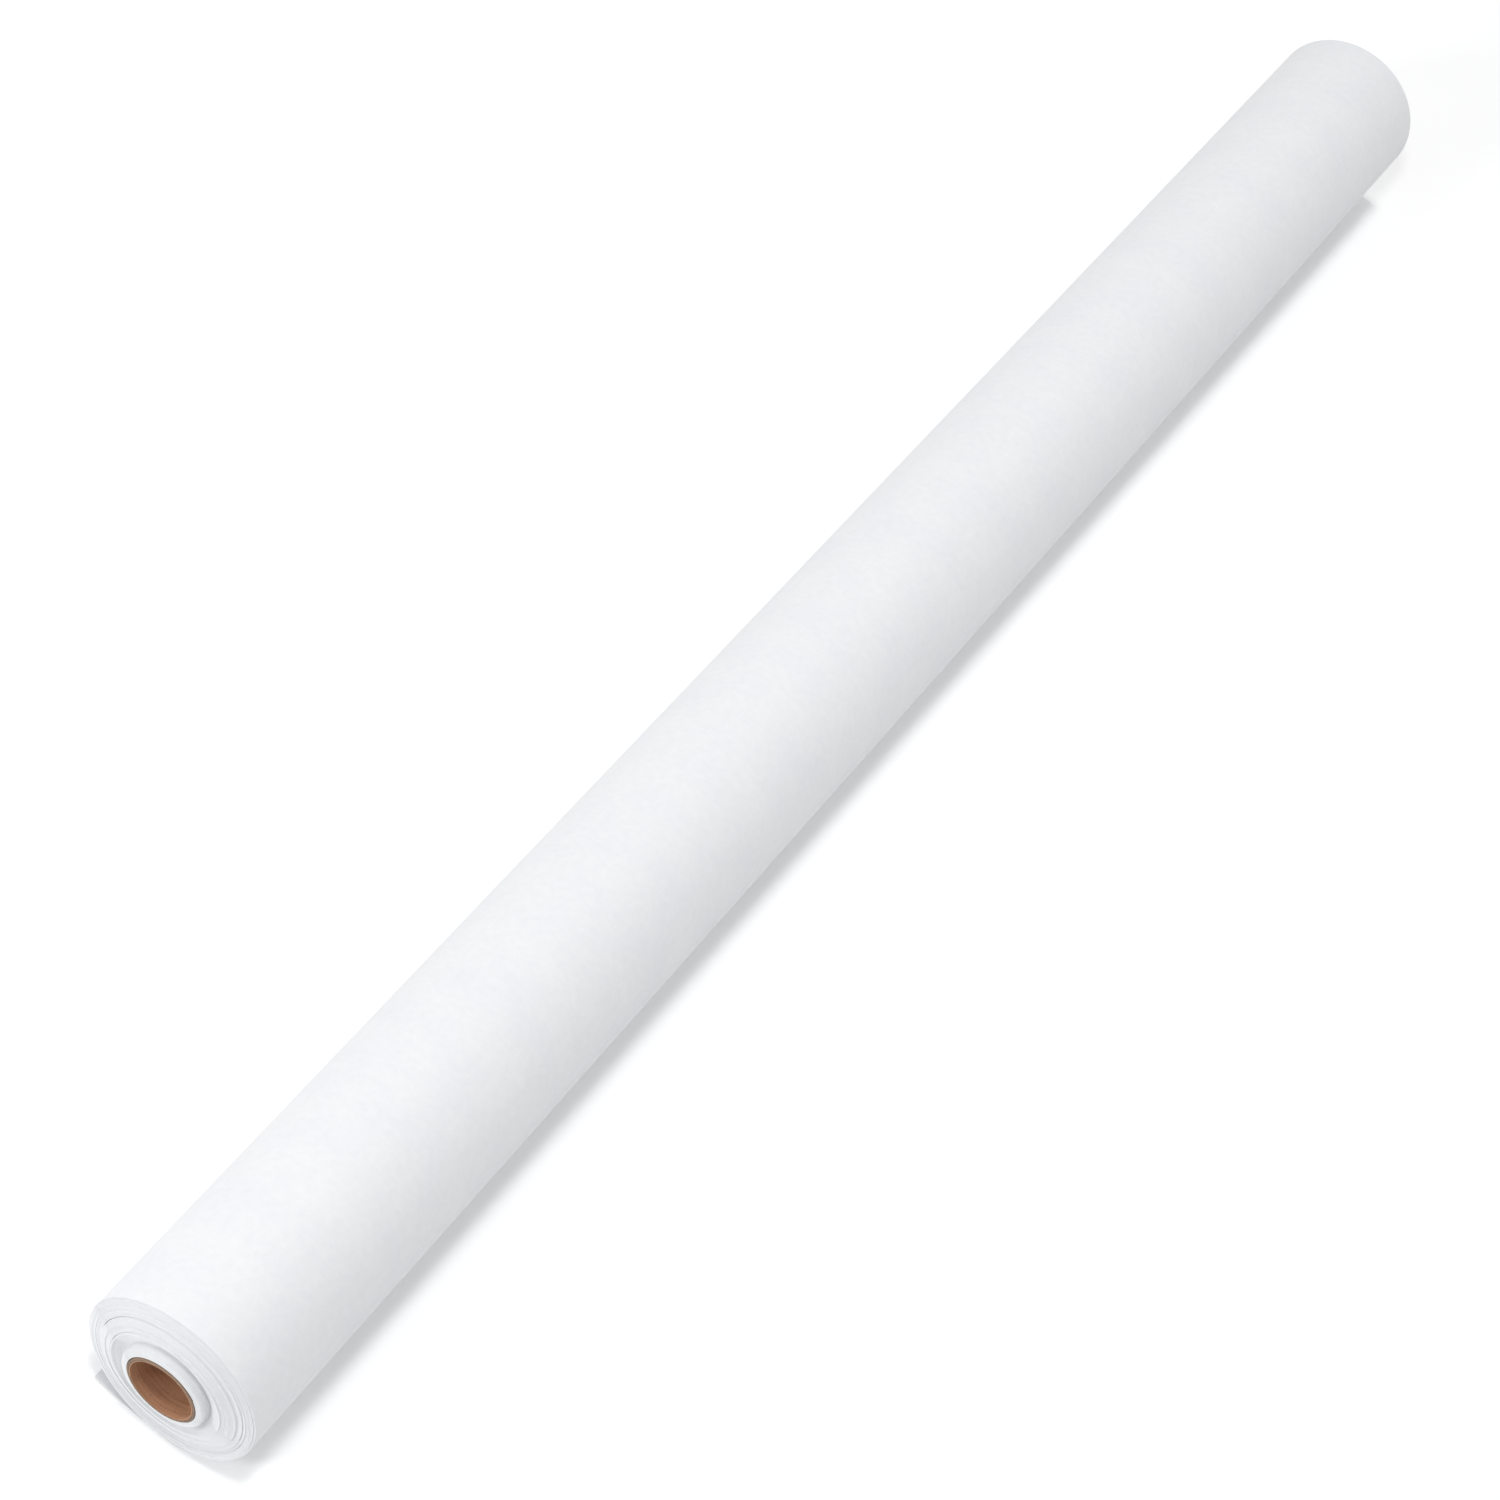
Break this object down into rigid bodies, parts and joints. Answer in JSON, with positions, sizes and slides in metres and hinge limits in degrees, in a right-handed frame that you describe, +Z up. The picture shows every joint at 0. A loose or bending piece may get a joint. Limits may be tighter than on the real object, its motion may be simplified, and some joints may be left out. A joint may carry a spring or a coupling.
{
  "type": "backdrop paper roll",
  "caption": "Roll of white backdrop paper on a kraft core, lying on its side with its free end flat on the surface and the core standing proud at one end.",
  "frame": {"origin": "On the surface that the roll lies on, below the middle of the roll's box.", "axes": "+X along the roll's axis, from the end where the core stands proud to the other end. +Y to the side where the sheet's free end lies. +Z up."},
  "size_m": [1.0236, 0.0814, 0.0814],
  "materials": {
    "white_paper": "matte uncoated paper, soft fibrous tooth",
    "board_kraft": "matte brown kraft board",
    "liner_kraft": "matte brown kraft paper",
    "tape": "thin cream paper tape, slight sheen"
  },
  "bodies": {
    "roll": {"wound_wraps": "white_paper", "outer_turn": "white_paper"},
    "core": {"core_liner_ply": "liner_kraft", "core_board": "board_kraft", "core_cover_ply": "board_kraft", "start_tape": "tape", "inner_wraps": "white_paper"},
    "tail": {"tail_flap": "white_paper"}
  },
  "joints": [
    {"name": "tail_lift", "type": "hinge", "parent": "roll", "child": "tail", "pos_m": [0, 0.012, 0.00015], "axis": [1, 0, 0], "range_deg": [0, 26]},
    {"name": "core_slide", "type": "slide", "parent": "roll", "child": "core", "axis": [1, 0, 0], "range_m": [0, 0.0077]}
  ]
}
